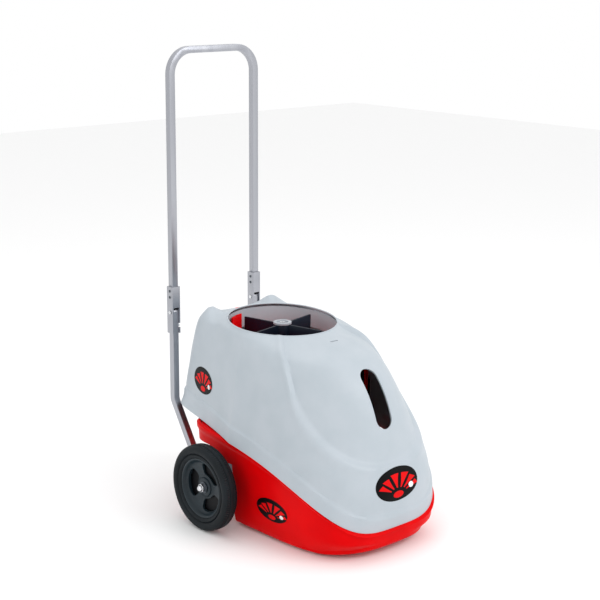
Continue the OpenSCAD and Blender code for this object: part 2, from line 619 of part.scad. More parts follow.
module hinge_sleeve(s) color("#aeb0b8") translate([s * tube_x, tube_y, 0]) difference() {
    translate([-SLEEVE_S / 2, -SLEEVE_S / 2, SLEEVE_Z[0]]) cube([SLEEVE_S, SLEEVE_S, SLEEVE_Z[1] - SLEEVE_Z[0]]);
    translate([-SLEEVE_IN / 2, -SLEEVE_IN / 2, SLEEVE_Z[0] - 1]) cube([SLEEVE_IN, SLEEVE_IN, 200]);
    translate([-SLEEVE_IN / 2, -SLEEVE_S, SLEEVE_Z[0] - 1]) cube([SLEEVE_IN, SLEEVE_S, SLEEVE_CLOSED - SLEEVE_Z[0] + 1]);
    translate([-30, 0, fold_z]) rotate([0, 90, 0]) cylinder(r = PIN_R + run, h = 60);
    translate([0, 0, BUTTON_Z]) rotate([0, -s * 90, 0]) cylinder(r = BUTTON_R + 0.8, h = 30);
    intersection() { // the button leaves the sleeve along this arc about the pin
        translate([0, 0, fold_z]) rotate([0, -s * 90, 0]) difference() {
            cylinder(r = fold_z - BUTTON_Z + BUTTON_R + 0.8, h = 30, $fn = 96);
            translate([0, 0, -1]) cylinder(r = fold_z - BUTTON_Z - BUTTON_R - 0.8, h = 32, $fn = 96);
        }
        translate([-30, -30, SLEEVE_Z[0]]) cube([60, 30, fold_z - SLEEVE_Z[0] - 20]);
    }
    for (z = [490, 505]) translate([-30, 0, z]) rotate([0, 90, 0]) cylinder(r = 2.5, h = 60);
}

module sleeve_rivets() color("#8d9097") for (s = [-1, 1], z = [490, 505]) translate([s * tube_x, tube_y, z])
    rotate([0, 90, 0]) {
        translate([0, 0, -SLEEVE_S / 2]) cylinder(r = 2.5, h = SLEEVE_S);
        for (e = [-1, 1]) translate([0, 0, e * (SLEEVE_S / 2 + 0.3) - 0.3]) cylinder(r = 3.4, h = 0.6);
    }

UPPER_LOW = fold_z + 18;

module loop_outline(off, low) {
    w = tube_x + off;
    r = handle_bend + off;
    top = handle_top - tube_s / 2 + off;
    translate([-w, low]) square([2 * w, top - r - low]);
    translate([-w + r, top - r - 1]) square([2 * (w - r), r + 1]);
    for (s = [-1, 1]) translate([s * (w - r), top - r]) circle(r = r, $fn = 96);
}

module loop_bar(off, t, low) translate([0, tube_y + t / 2, 0]) rotate([90, 0, 0]) linear_extrude(t) difference() {
    loop_outline(off, low);
    loop_outline(-off, low - 5);
}

module handle_loop() color(METAL) difference() {
    loop_bar(tube_s / 2, tube_s, UPPER_LOW);
    loop_bar(tube_s / 2 - tube_wall, tube_s - 2 * tube_wall, UPPER_LOW - 3);
    for (s = [-1, 1], z = [490, 505]) translate([s * tube_x - 20, tube_y, z]) rotate([0, 90, 0])
        cylinder(r = 2.5, h = 40);
}

module lock_button(s) color("#c9cacf") translate([s * tube_x, tube_y, BUTTON_Z]) rotate([0, -s * 90, 0]) {
    translate([0, 0, 4]) cylinder(r = BUTTON_R, h = SLEEVE_S / 2 - 1);
    translate([0, 0, 3]) cylinder(r = 5.5, h = 1.5);
}

module deck_screws() color("#8d9097") for (a = [20, 160, 200, 340]) translate([(drum_r - 7) * cos(a),
    axle_y + (drum_r - 7) * sin(a), drum_top + TRAY_T]) cylinder(r = 4, h = 2.2, $fn = 24);

base_tub();
bonnet_deck();
upper_body();
ball_tray();
launch_throat();
side_covers();
rubber_feet();
battery();
battery_strap();
control_board();
feed_motor();
feed_bracket();
ball_chute();
tilt_bearings();
tilt_motor();
tilt_motor_bracket();
rear_panel();
charge_socket();
axle();
axle_spacers();
axle_washers();
axle_nuts();
frame_tube(-1);  // frame_tube_left
frame_tube(1);  // frame_tube_right
frame_crossbar();
frame_brackets();
fold_pins();
deck_screws();
hood_shell();
handle_loop();
hinge_sleeve(-1);  // hinge_sleeve_left
hinge_sleeve(1);  // hinge_sleeve_right
sleeve_rivets();
tyre(-1);  // tyre_left
tyre(1);  // tyre_right
hub(-1);  // hub_left
hub(1);  // hub_right
hub_bush(-1);  // hub_bush_left
hub_bush(1);  // hub_bush_right
carousel_rotor();
carousel_cap();
carousel_screw();
feed_shaft();
launcher_cradle();
launch_motors();
tilt_sector();
tilt_pinion();
launch_wheel(-1);  // launch_wheel_left
launch_wheel(1);  // launch_wheel_right
launch_hub(-1);  // launch_hub_left
launch_hub(1);  // launch_hub_right
lock_button(-1);  // lock_button_left
lock_button(1);  // lock_button_right
knob(0);  // speed_knob
knob(1);  // feed_knob
knob(2);  // tilt_knob
power_rocker();
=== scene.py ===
# %% [markdown]
# # A battery ball thrower on two wheels
#
# The machine is a red moulded base on two solid-tyred wheels, with its grey ball hopper turned over and
# set on top as a travelling cover, and a tall folding handle of square aluminium tube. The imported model
# already holds every part at its real size. This script keeps those parts where they are, gives each a
# real finish, and builds finer versions of the ones whose looks depend on soft curves: hood, base, wheels
# and decals.

# %% Load the frame
import json
import math

import bpy
from mathutils import Matrix, Vector


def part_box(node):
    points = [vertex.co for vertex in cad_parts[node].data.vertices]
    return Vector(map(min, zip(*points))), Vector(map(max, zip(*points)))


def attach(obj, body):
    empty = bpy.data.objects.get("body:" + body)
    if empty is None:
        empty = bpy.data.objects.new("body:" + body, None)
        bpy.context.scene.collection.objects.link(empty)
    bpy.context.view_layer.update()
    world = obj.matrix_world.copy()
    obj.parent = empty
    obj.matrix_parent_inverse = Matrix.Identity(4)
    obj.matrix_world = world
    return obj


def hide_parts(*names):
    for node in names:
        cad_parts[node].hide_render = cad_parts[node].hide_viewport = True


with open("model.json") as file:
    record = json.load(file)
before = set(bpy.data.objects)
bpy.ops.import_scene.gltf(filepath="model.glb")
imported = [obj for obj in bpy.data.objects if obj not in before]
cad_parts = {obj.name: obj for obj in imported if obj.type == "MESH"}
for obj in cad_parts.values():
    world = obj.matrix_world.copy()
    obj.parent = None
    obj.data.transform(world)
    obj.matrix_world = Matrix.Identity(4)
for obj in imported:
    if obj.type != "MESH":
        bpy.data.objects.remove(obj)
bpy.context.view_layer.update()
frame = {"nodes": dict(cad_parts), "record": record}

# %% [markdown]
# Sizes are written in millimetres, as on a drawing, and become metres when points are placed. The main
# ones are read from the frame, so the finer shapes always agree with the parts that they stand for.

# %% Sizes from the frame
MM = 0.001


def box_mm(node):
    low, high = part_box(node)
    return low / MM, high / MM


HOOD_HALF = box_mm("hood_shell")[1].x
FOOT = box_mm("base_tub")[0].z
TYRE_LOW, TYRE_HIGH = box_mm("tyre_left")
AXLE_Y = (TYRE_LOW.y + TYRE_HIGH.y) / 2
WHEEL_R = (TYRE_HIGH.z - TYRE_LOW.z) / 2
WHEEL_X = -(TYRE_LOW.x + TYRE_HIGH.x) / 2
print(f"wheels of radius {WHEEL_R:.1f} mm stand {WHEEL_X:.1f} mm from the middle plane")

# %% [markdown]
# ## Camera and light
# A long lens looks down a little on one front corner of the machine, with the left wheel nearest, as for
# a catalogue picture. The light is a bright room with one large soft box high in front and two weaker
# ones, so edges stay soft and shadows are faint.

# %% Camera
EYE = Vector((-2146.5, -2363.7, 1290.4)) * MM
YAW, PITCH, ROLL = math.radians(42.21), math.radians(13.57), math.radians(0.33)
look = Vector((math.sin(YAW) * math.cos(PITCH), math.cos(YAW) * math.cos(PITCH), -math.sin(PITCH)))
level = look.cross(Vector((0, 0, 1))).normalized()
upward = level.cross(look)
side = level * math.cos(ROLL) + upward * math.sin(ROLL)
crown = upward * math.cos(ROLL) - level * math.sin(ROLL)
camera_data = bpy.data.cameras.new("catalogue_camera")
camera_data.lens = 85.1
camera_data.sensor_width = 36
camera = bpy.data.objects.new("catalogue_camera", camera_data)
camera.matrix_world = Matrix.Translation(EYE) @ Matrix((side, crown, -look)).transposed().to_4x4()
bpy.context.scene.collection.objects.link(camera)
bpy.context.scene.camera = camera
bpy.context.scene.view_settings.view_transform = "Standard"


# %% Lights and world
def soft_box(name, place, aim, size, power):
    data = bpy.data.lights.new(name, "AREA")
    data.shape = "RECTANGLE"
    data.size, data.size_y = size
    data.energy = power
    lamp = bpy.data.objects.new(name, data)
    lamp.location = place
    lamp.rotation_euler = (Vector(aim) - Vector(place)).to_track_quat("-Z", "Y").to_euler()
    bpy.context.scene.collection.objects.link(lamp)


MIDDLE = (0, 0, 0.35)
soft_box("key_soft_box", (0.9, -2.6, 2.4), MIDDLE, (2.0, 1.6), 34)
soft_box("fill_soft_box", (-3.0, -0.6, 1.5), MIDDLE, (1.6, 1.6), 5)
soft_box("top_soft_box", (0.2, 0.6, 3.2), MIDDLE, (1.8, 1.8), 14)
world = bpy.data.worlds.new("white_room")
world.use_nodes = True
world.node_tree.nodes["Background"].inputs["Color"].default_value = (1, 1, 1, 1)
world.node_tree.nodes["Background"].inputs["Strength"].default_value = 1.0
bpy.context.scene.world = world

# %% [markdown]
# ## Helpers for materials
# A colour is given as the hex value a designer would pick on screen, and one function turns it to the
# linear light that the shader works in. Another adds a node with its settings and links.


# %% Colour and node helpers
def linear(code):
    parts = [int(code[i:i + 2], 16) / 255 for i in (1, 3, 5)]
    return [p / 12.92 if p <= 0.04045 else ((p + 0.055) / 1.055) ** 2.4 for p in parts] + [1]


def add_node(tree, kind, settings=None, links=None):
    node = tree.nodes.new("ShaderNode" + kind)
    for key, value in (settings or {}).items():
        if isinstance(key, int) or key in node.inputs:
            node.inputs[key].default_value = value
        else:
            setattr(node, key, value)
    for key, socket in (links or {}).items():
        tree.links.new(socket, node.inputs[key])
    return node


def new_material(name, sockets):
    material = bpy.data.materials.new(name)
    material.use_nodes = True
    shader = material.node_tree.nodes["Principled BSDF"]
    for key, value in sockets.items():
        shader.inputs[key].default_value = value
    return material, material.node_tree, shader


def mottle(tree, shader, place, size_mm, light, dark, detail=3):
    """Base colour that wanders softly between two near shades."""
    noise = add_node(tree, "TexNoise", {"Scale": 1 / (size_mm * MM), "Detail": detail}, {"Vector": place})
    shades = add_node(tree, "ValToRGB", {}, {"Fac": noise.outputs["Fac"]})
    shades.color_ramp.elements[0].position = 0.35
    shades.color_ramp.elements[0].color = linear(dark)
    shades.color_ramp.elements[1].position = 0.65
    shades.color_ramp.elements[1].color = linear(light)
    tree.links.new(shades.outputs["Color"], shader.inputs["Base Color"])
    return noise


def grain(tree, shader, place, size_mm, height_mm, rough_low, rough_high):
    """Fine surface grain: a bump of a real height, and a roughness that changes with it."""
    fine = add_node(tree, "TexNoise", {"Scale": 1 / (size_mm * MM), "Detail": 4}, {"Vector": place})
    fac = fine.outputs["Fac"]
    bump = add_node(tree, "Bump", {"Strength": 1.0, "Distance": height_mm * MM}, {"Height": fac})
    spread = add_node(tree, "MapRange", {"To Min": rough_low, "To Max": rough_high}, {"Value": fac})
    tree.links.new(bump.outputs["Normal"], shader.inputs["Normal"])
    tree.links.new(spread.outputs["Result"], shader.inputs["Roughness"])


def object_place(tree):
    return add_node(tree, "TexCoord").outputs["Object"]


# %% [markdown]
# ## Finishes
# Hood, base and covers are moulded polyethylene: an even colour with a soft satin gloss and a faint
# orange peel from the mould. The pattern scales come from those real surfaces; a grain under about 2 mm
# can't show at this distance, so it is drawn a little coarser.


# %% Moulded plastics
def moulded(name, light, dark, low, high, peel_mm=7, height_mm=0.05, gloss=0.5):
    material, tree, shader = new_material(name, {"IOR": 1.5, "Specular IOR Level": gloss})
    place = object_place(tree)
    mottle(tree, shader, place, 60, light, dark)
    grain(tree, shader, place, peel_mm, height_mm, low, high)
    return material


hood_grey = moulded("moulded_polyethylene_light_grey", "#b3bbc2", "#aeb7be", 0.36, 0.44, gloss=0.3)
base_red = moulded("moulded_polyethylene_red", "#dc0004", "#d20004", 0.3, 0.4, gloss=0.05)
case_black = moulded("moulded_abs_black", "#0e0f12", "#0a0b0e", 0.42, 0.52, 3, 0.06, 0.15)
vane_navy = moulded("moulded_abs_navy", "#0c1828", "#081220", 0.36, 0.46, 3, 0.05, 0.2)
cap_grey = moulded("moulded_abs_grey", "#a9aeb5", "#9ea4ac", 0.32, 0.42, 3, 0.05)
hub_slate = moulded("moulded_nylon_slate", "#1d2a31", "#17232a", 0.3, 0.42, 3, 0.05, 0.3)
bush_nylon = moulded("turned_nylon_natural", "#dcd7c6", "#d3cdbb", 0.4, 0.5, 2, 0.03)
dial_black = moulded("moulded_phenolic_black", "#202126", "#18191c", 0.3, 0.4, 2, 0.03)
switch_red = moulded("moulded_rocker_red", "#b70d12", "#aa0a10", 0.25, 0.33, 2, 0.02)
cell_grey = moulded("moulded_battery_case_grey", "#34383e", "#2d3136", 0.45, 0.55, 2.5, 0.08)
tyre_rubber = moulded("solid_tyre_rubber", "#141b20", "#0e1418", 0.5, 0.68, 2.5, 0.12, 0.2)
foot_rubber = moulded("moulded_foot_rubber", "#1c1d1f", "#151617", 0.62, 0.78, 2, 0.1)
grip_rubber = moulded("cast_polyurethane_dark", "#3b3e45", "#33363c", 0.45, 0.6, 2, 0.1)


# %% [markdown]
# Metals keep the default IOR. Satin anodised aluminium shows fine lines along the tube from its extrusion
# die, so the noise is stretched along Z; plated steel is bright and almost smooth.


# %% Metals
def metal(name, light, dark, low, high, stretch=(1, 1, 1), size_mm=2.0, height_mm=0.01):
    material, tree, shader = new_material(name, {"Metallic": 1.0})
    place = add_node(tree, "Mapping", {"Scale": stretch}, {"Vector": object_place(tree)}).outputs["Vector"]
    mottle(tree, shader, place, size_mm * 12, light, dark)
    grain(tree, shader, place, size_mm, height_mm, low, high)
    return material


aluminium = metal("satin_anodised_aluminium", "#b0b2b8", "#a6a8af", 0.3, 0.42, (1, 1, 0.04))
bright_steel = metal("bright_zinc_plated_steel", "#dfe1e4", "#d2d4d8", 0.14, 0.24)
dark_steel = metal("black_passivated_steel", "#5d6268", "#50555b", 0.32, 0.45)
motor_can = metal("plated_motor_can", "#a3a7ad", "#93979d", 0.26, 0.38)
gear_brass = metal("machined_brass", "#cfab62", "#bf9a52", 0.22, 0.32)


# %% [markdown]
# The strap is woven webbing, the circuit board a lacquered green laminate, and the decals printed vinyl
# with a gloss overlay, in black, red and white.


# %% Webbing, board and vinyl
def woven(name, light, dark, thread_mm):
    material, tree, shader = new_material(name, {"Roughness": 0.85, "Sheen Weight": 0.3})
    place = object_place(tree)
    bands = [add_node(tree, "TexWave", {"Scale": 1 / (thread_mm * MM) / 20, "bands_direction": direction},
                      {"Vector": place}).outputs["Fac"] for direction in "ZX"]
    cross = add_node(tree, "Math", {"operation": "MULTIPLY"}, {0: bands[0], 1: bands[1]})
    bump = add_node(tree, "Bump", {"Distance": 0.2 * MM}, {"Height": cross.outputs["Value"]})
    tree.links.new(bump.outputs["Normal"], shader.inputs["Normal"])
    mottle(tree, shader, place, 5, light, dark)
    return material


def vinyl(name, light, dark):
    return moulded(name, light, dark, 0.3, 0.36, 9, 0.02, 0.08)


strap_black = woven("woven_nylon_webbing", "#1c1d20", "#121316", 1.2)
board_green = moulded("lacquered_circuit_board", "#1c6a3a", "#175a31", 0.25, 0.35, 1.5, 0.05)
vinyl_black = vinyl("printed_vinyl_black", "#080709", "#050506")
vinyl_red = vinyl("printed_vinyl_red", "#e00a0e", "#d6060a")
vinyl_white = vinyl("printed_vinyl_white", "#f4f4f4", "#ececec")
print(len(bpy.data.materials), "finishes are ready")

# %% [markdown]
# ## Tools for new pieces
# Most soft shapes here start as a flat grid whose points are carried onto a curved surface, like rolling
# a sheet of clay round a form; its meeting edges are then welded. Cutters start as a disc that is pulled
# to an outline and extruded.


# %% Sheet, block and cut helpers
def pick_only(*parts):
    bpy.ops.object.select_all(action="DESELECT")
    for part in parts:
        part.select_set(True)
    bpy.context.view_layer.objects.active = parts[0]


def in_edit_mode(part, *steps):
    pick_only(part)
    bpy.ops.object.mode_set(mode="EDIT")
    bpy.ops.mesh.select_all(action="SELECT")
    for step in steps:
        step()
    bpy.ops.object.mode_set(mode="OBJECT")


def weld_points():
    bpy.ops.mesh.remove_doubles(threshold=0.01 * MM)


def face_out():
    bpy.ops.mesh.normals_make_consistent(inside=False)


def wrapped_sheet(name, across, along, shape):
    """A grid of across by along cells, its points carried to shape(u, v), in millimetres."""
    bpy.ops.object.select_all(action="DESELECT")
    bpy.ops.mesh.primitive_grid_add(x_subdivisions=across, y_subdivisions=along, size=1)
    piece = bpy.context.object
    piece.name = name
    for point in piece.data.vertices:
        point.co = Vector(shape(point.co.x + 0.5, point.co.y + 0.5)) * MM
    in_edit_mode(piece, weld_points, face_out)
    return piece


def block(name, outline, depth):
    """A flat outline in the XY plane, extruded to depth along Z about its middle, in millimetres."""
    bpy.ops.object.select_all(action="DESELECT")
    bpy.ops.mesh.primitive_circle_add(vertices=len(outline), radius=1, fill_type="NGON")
    piece = bpy.context.object
    piece.name = name
    for point, (x, y) in zip(piece.data.vertices, outline):
        point.co = Vector((x, y, -depth / 2)) * MM

    def thicken():
        bpy.ops.mesh.extrude_region_move(TRANSFORM_OT_translate={"value": (0, 0, depth * MM)})
        bpy.ops.mesh.select_all(action="SELECT")

    in_edit_mode(piece, thicken, face_out)
    return piece


def put(piece, place, turn):
    """Moves a piece to its place and keeps that place in its mesh."""
    piece.data.transform(Matrix.Translation(Vector(place) * MM) @ turn)
    piece.data.update()
    return piece


def combine(piece, other, how="DIFFERENCE"):
    pick_only(piece)
    cut = piece.modifiers.new("cut", "BOOLEAN")
    cut.operation = how
    cut.object = other
    cut.solver = "EXACT"
    bpy.ops.object.modifier_apply(modifier="cut")
    bpy.data.objects.remove(other)
    return piece


def smooth(piece, angle=35):
    pick_only(piece)
    bpy.ops.object.shade_smooth_by_angle(angle=math.radians(angle))
    return piece


def round_edges(piece, width_mm, angle=50, segments=3):
    pick_only(piece)
    bevel = piece.modifiers.new("round", "BEVEL")
    bevel.width = width_mm * MM
    bevel.segments = segments
    bevel.limit_method = "ANGLE"
    bevel.angle_limit = math.radians(angle)
    bpy.ops.object.modifier_apply(modifier="round")
    return smooth(piece)


def finish_piece(piece, material, body, slot, *stands_for):
    piece.data.materials.clear()
    piece.data.materials.append(material)
    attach(piece, body)
    if stands_for:
        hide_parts(*stands_for)
    print(f"{piece.name}: {len(piece.data.polygons)} faces on {body}")
    return piece


# %% [markdown]
# ## Dressing the parts that keep their shape
# Inside parts keep the frame's mesh and only get their finish. Parts that show get a copy of that mesh
# whose triangles are merged, so that a bevel can break each hard edge as moulding, extrusion or deburring
# does, and the edges catch a line of light.

# %% Finish each of the frame's nodes
FINISHES = {
    aluminium: ["frame_tube_left", "frame_tube_right", "frame_crossbar", "handle_loop",
                "hinge_sleeve_left", "hinge_sleeve_right", "feed_bracket", "tilt_motor_bracket",
                "launcher_cradle", "axle_spacers", "launch_hub_left", "launch_hub_right"],
    bright_steel: ["axle", "axle_nuts", "fold_pins", "deck_screws", "carousel_screw", "feed_shaft",
                   "tilt_sector", "lock_button_left", "lock_button_right", "charge_socket"],
    dark_steel: ["axle_washers", "frame_brackets", "sleeve_rivets"],
    motor_can: ["feed_motor", "tilt_motor", "launch_motors"],
    gear_brass: ["tilt_pinion"],
    base_red: ["bonnet_deck", "upper_body", "ball_tray"],
    case_black: ["launch_throat", "side_covers", "ball_chute", "tilt_bearings", "rear_panel"],
    vane_navy: ["carousel_rotor"],
    cap_grey: ["carousel_cap"],
    bush_nylon: ["hub_bush_left", "hub_bush_right"],
    dial_black: ["speed_knob", "feed_knob", "tilt_knob"],
    switch_red: ["power_rocker"],
    cell_grey: ["battery"],
    strap_black: ["battery_strap"],
    board_green: ["control_board"],
    foot_rubber: ["rubber_feet"],
    grip_rubber: ["launch_wheel_left", "launch_wheel_right"],
}
for finish, names in FINISHES.items():
    for name in names:
        node = frame["nodes"][name]
        node.data.materials.clear()
        node.data.materials.append(finish)
print("finished", sum(len(names) for names in FINISHES.values()), "nodes")


# %% Broken edges on the parts that show
BODY_OF = {node: body for body, nodes in frame["record"]["behaviour"]["bodies"].items() for node in nodes}
BROKEN_EDGES = {  # bevel width in millimetres, and the parts that get it
    1.2: ["handle_loop", "frame_tube_left", "frame_tube_right", "frame_crossbar"],
    0.8: ["hinge_sleeve_left", "hinge_sleeve_right", "carousel_rotor", "carousel_cap", "ball_tray",
          "upper_body", "launch_throat", "side_covers", "rubber_feet"],
    0.4: ["axle_nuts", "fold_pins", "sleeve_rivets", "rear_panel", "frame_brackets", "launcher_cradle"],
}


def broken_edges(node_name, width_mm, angle=40):
    """A copy of the node with merged triangles and bevelled edges, which stands for the node."""
    node = frame["nodes"][node_name]
    piece = bpy.data.objects.new(node_name + "_finished", node.data.copy())
    bpy.context.scene.collection.objects.link(piece)
    in_edit_mode(piece, weld_points, lambda: bpy.ops.mesh.dissolve_limited(angle_limit=math.radians(0.5)))
    round_edges(piece, width_mm, angle, 2)
    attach(piece, BODY_OF[node_name])
    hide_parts(node_name)
    return piece


for width, names in BROKEN_EDGES.items():
    for name in names:
        broken_edges(name, width)
print("broken edges on", sum(len(names) for names in BROKEN_EDGES.values()), "parts")

# %% [markdown]
# ## The hood
# The hood is one rotation-moulded shell: a long rounded cover whose outline is nearly a rectangle at the
# back, a blunt nose at the front, and a circle at the ball opening. Each level between rim and collar is
# an oval with its own width, length and squareness. A smooth curve through a few known levels gives the
# rest.


# %% Ovals that change from rim to collar
def follow(table, t):
    """Smooth curve through (position, value) pairs, without overshoot."""
    places, values = zip(*table)
    if t <= places[0]:
        return values[0]
    if t >= places[-1]:
        return values[-1]
    i = max(k for k in range(len(places)) if places[k] <= t)

    def slope(k):
        if k in (0, len(places) - 1):
            return 0 if k else (values[1] - values[0]) / (places[1] - places[0])
        before = (values[k] - values[k - 1]) / (places[k] - places[k - 1])
        after = (values[k + 1] - values[k]) / (places[k + 1] - places[k])
        return 0 if before * after <= 0 else 2 * before * after / (before + after)

    width = places[i + 1] - places[i]
    s = (t - places[i]) / width
    return ((2 * s ** 3 - 3 * s ** 2 + 1) * values[i] + (s ** 3 - 2 * s ** 2 + s) * width * slope(i)
            + (3 * s ** 2 - 2 * s ** 3) * values[i + 1] + (s ** 3 - s ** 2) * width * slope(i + 1))


OPENING_R = 131
HALF_W = [(0, HOOD_HALF), (0.12, 192), (0.2, 190), (0.44, 179), (0.69, 166), (0.887, 152), (0.967, 141),
          (1, OPENING_R)]
FRONT_Y = [(0, -325), (0.12, -329.5), (0.2, -329.5), (0.31, -321), (0.44, -303), (0.69, -261),
           (0.887, -201), (0.967, -130), (1, AXLE_Y - OPENING_R)]
REAR_Y = [(0, 303), (0.2, 300), (0.44, 289), (0.69, 271), (0.887, 252), (0.967, 230),
          (1, AXLE_Y + OPENING_R)]
FRONT_POWER = [(0, 3.6), (0.2, 3.2), (0.44, 2.65), (0.69, 2.3), (0.887, 2.15), (0.967, 2.1), (1, 2)]
REAR_POWER = [(0, 14), (0.2, 13), (0.44, 11), (0.69, 10), (0.887, 8), (0.967, 4), (1, 2)]
MIDDLE_Y = [(0, -60), (0.2, -50), (0.44, -30), (0.69, 0), (0.887, 30), (0.967, 50), (1, AXLE_Y)]
REAR_TAPER = [(0, 0.29), (0.1, 0.33), (0.44, 0.31), (0.69, 0.28), (0.887, 0.2), (0.967, 0.1), (1, 0)]
NOSE_Y = -331
HOOD_WALL = 4
RIM_LOW, RIM_RISE = 45, 195  # height of the rim at the nose, and how far it climbs towards the back
COLLAR_Z, COLLAR_SLOPE = 460, 0.065
EAR_X, EAR_Y, EAR_H, EAR_SPREAD = 94, 211, 20, 26  # the two humps at the hood's rear corners


def rim_z(y):
    return RIM_LOW + RIM_RISE * (1 - math.exp(-max(0, (y - NOSE_Y + 7) / 190) ** 0.9))


def opening_z(y):
    return COLLAR_Z + COLLAR_SLOPE * (y - AXLE_Y)


def ease(value, low, high):
    s = min(1, max(0, (value - low) / (high - low)))
    return s * s * (3 - 2 * s)


def oval(angle, w, b, n):
    return (abs(math.cos(angle) / w) ** n + abs(math.sin(angle) / b) ** n) ** (-1 / n)


def hood_level(angle, t, inset=0.0):
    front = math.sin(angle) < 0
    middle = follow(MIDDLE_Y, t)
    reach = (middle - follow(FRONT_Y, t) if front else follow(REAR_Y, t) - middle) - inset
    k = oval(angle, follow(HALF_W, t) - inset, reach, follow(FRONT_POWER if front else REAR_POWER, t))
    y = middle + k * math.sin(angle)
    back = max(0, (y - 30) / 270)
    x = k * math.cos(angle) * (1 - follow(REAR_TAPER, t) * back ** 0.9)
    z = (1 - t) * rim_z(y) + t * opening_z(y)
    ear = EAR_H * math.exp(-((abs(x) - EAR_X) ** 2 + (y - EAR_Y) ** 2) / EAR_SPREAD ** 2)
    return Vector((x, y, z + ear * ease(t, 0.5, 0.887) * (1 - ease(t, 0.967, 1))))


# %% [markdown]
# Relief is added along the surface's own normal: the rim band that stands a little proud, the crease that
# sweeps down from the collar and round the nose to frame the front panel, the small boss in front of the
# opening and the bead round the collar.


# %% Relief on the hood
BOSS_Y, BOSS_H = -113, 4
BAND_STEP = 4  # how far the rim band stands proud
PANEL_DEPTH = 8
VALLEY_DEPTH, VALLEY_R = 5, 158
BEAD_H = 1.2


def panel_edge(p):
    """Distance inside the front panel's crease, in millimetres; negative outside."""
    toward_front = math.degrees(math.atan2(AXLE_Y - p.y, abs(p.x) + 1e-6))
    fall = max(0.0, (90 - toward_front) / 47)
    edge = 205 + 250 * fall ** 2.5 + 60 * ease(fall, 0.72, 0.9)
    steep = 13 * fall ** 1.4 / 2.6
    return (p.z - edge) / math.sqrt(1 + steep * steep)


def relief(p, t):
    """How far the outer skin stands out at p, in millimetres."""
    above_rim = p.z - rim_z(p.y)
    body = -BAND_STEP * ease(above_rim, 35, 41) * (1 - ease(above_rim, 60, 190))
    inside = panel_edge(p)
    depth = PANEL_DEPTH * (1 - ease(t, 0.97, 1))
    crease = 1.8 * math.exp(-((inside + 7) / 6) ** 2)
    panel = -depth * ease(inside, -3, 8) * (1 - ease(inside, 10, 150)) + crease
    from_collar = (p.x ** 2 + (p.y - AXLE_Y) ** 2) ** 0.5 - VALLEY_R
    valley = -VALLEY_DEPTH * math.exp(-from_collar ** 2 / 14 ** 2) * ease(p.y, 90, 170)
    boss = BOSS_H * math.exp(-((p.x / 30) ** 2 + ((p.y - BOSS_Y) / 13) ** 2) ** 2)
    bead = BEAD_H * math.exp(-((1 - t) / 0.012) ** 2)
    return body + panel + valley * ease(t, 0.6, 0.9) * (1 - ease(t, 0.97, 1)) + boss + bead


def hood_outside(angle, t, lift=0.0):
    """The hood's outer skin, raised by lift along its normal."""
    p = hood_level(angle, t)
    step = 0.004
    along = hood_level(angle, min(1, t + step)) - hood_level(angle, max(0, t - step))
    around = hood_level(angle + step, t) - hood_level(angle - step, t)
    return p + around.cross(along).normalized() * (relief(p, t) + lift)


def lip_point(angle, turn):
    """The rolled lip: half a turn from the outer skin over to the inner skin."""
    collar = hood_outside(angle, 1)
    inward = (Vector((0, AXLE_Y, collar.z)) - collar).normalized()
    over = Vector((0, 0, HOOD_WALL / 2 * math.sin(turn)))
    return collar + inward * HOOD_WALL / 2 * (1 - math.cos(turn)) + over


def hood_inside(angle, t):
    """The inner skin, one wall inside the outer one, that meets the lip at the collar."""
    p = hood_outside(angle, t, -HOOD_WALL)
    p.z = max(p.z, rim_z(p.y))
    return p.lerp(lip_point(angle, math.pi), ease(t, 0.985, 1))


OUTER, LIP, INNER = 0.6, 0.68, 0.96  # where each stretch of the shell's section ends
RIM_ROUND = 1.2


def hood_skin(u, v):
    angle = 2 * math.pi * u
    if v <= OUTER:
        return hood_outside(angle, v / OUTER)
    if v <= LIP:
        return lip_point(angle, (v - OUTER) / (LIP - OUTER) * math.pi)
    if v <= INNER:
        return hood_inside(angle, 1 - (v - LIP) / (INNER - LIP))
    s = (v - INNER) / (1 - INNER)
    edge = hood_inside(angle, 0).lerp(hood_outside(angle, 0), s)
    return edge - Vector((0, 0, RIM_ROUND * math.sin(math.pi * s)))


hood = wrapped_sheet("hood", 288, 120, hood_skin)

# %% [markdown]
# The long hand hole and the slit in the boss are cut with blocks, and their edges rounded, as the mould
# rounds them.


# %% Hand hole and slit
def stadium(radius, straight, turns=24):
    """Outline of a slot: two half circles, straight apart along Y."""
    half = [(radius * math.cos(a), radius * math.sin(a)) for a in
            [math.pi * i / turns for i in range(turns + 1)]]
    return [(x, y + straight / 2) for x, y in half] + [(-x, -y - straight / 2) for x, y in half]


SLOT_TOP, SLOT_LOW = Vector((0, -227.8, 382.1)), Vector((0, -277.2, 302.2))
SLOT_R, SLOT_LEAN = 24, 58.7
hand_cutter = block("hand_cutter", stadium(SLOT_R, (SLOT_TOP - SLOT_LOW).length), 90)
lean = Matrix.Rotation(math.radians(SLOT_LEAN), 4, "X")
combine(hood, put(hand_cutter, (SLOT_TOP + SLOT_LOW) / 2, lean))
slit_cutter = block("slit_cutter", stadium(2.5, 18), 60)
crossways = Matrix.Rotation(math.radians(90), 4, "Z")
combine(hood, put(slit_cutter, (0, BOSS_Y, 440), crossways))
round_edges(hood, 1.2)
finish_piece(hood, hood_grey, "hood", "hood_plastic", "hood_shell")

# %% [markdown]
# ## The base tub
# A second moulded shell, open at the top, with a flange on which the hood rests. Its rear is cut away
# over the axle. The outer and inner skins are one closed sheet. A lining for the arch is joined to it
# before the cut.

# %% Tub skins
TUB_MID, TUB_REAR = -60, 193.6
TUB_POWER = [(0, 3), (0.35, 4.2), (1, 4)]
TUB_WALL = 4
CORNER_R = 12  # round of the bottom edge
FLANGE = 3


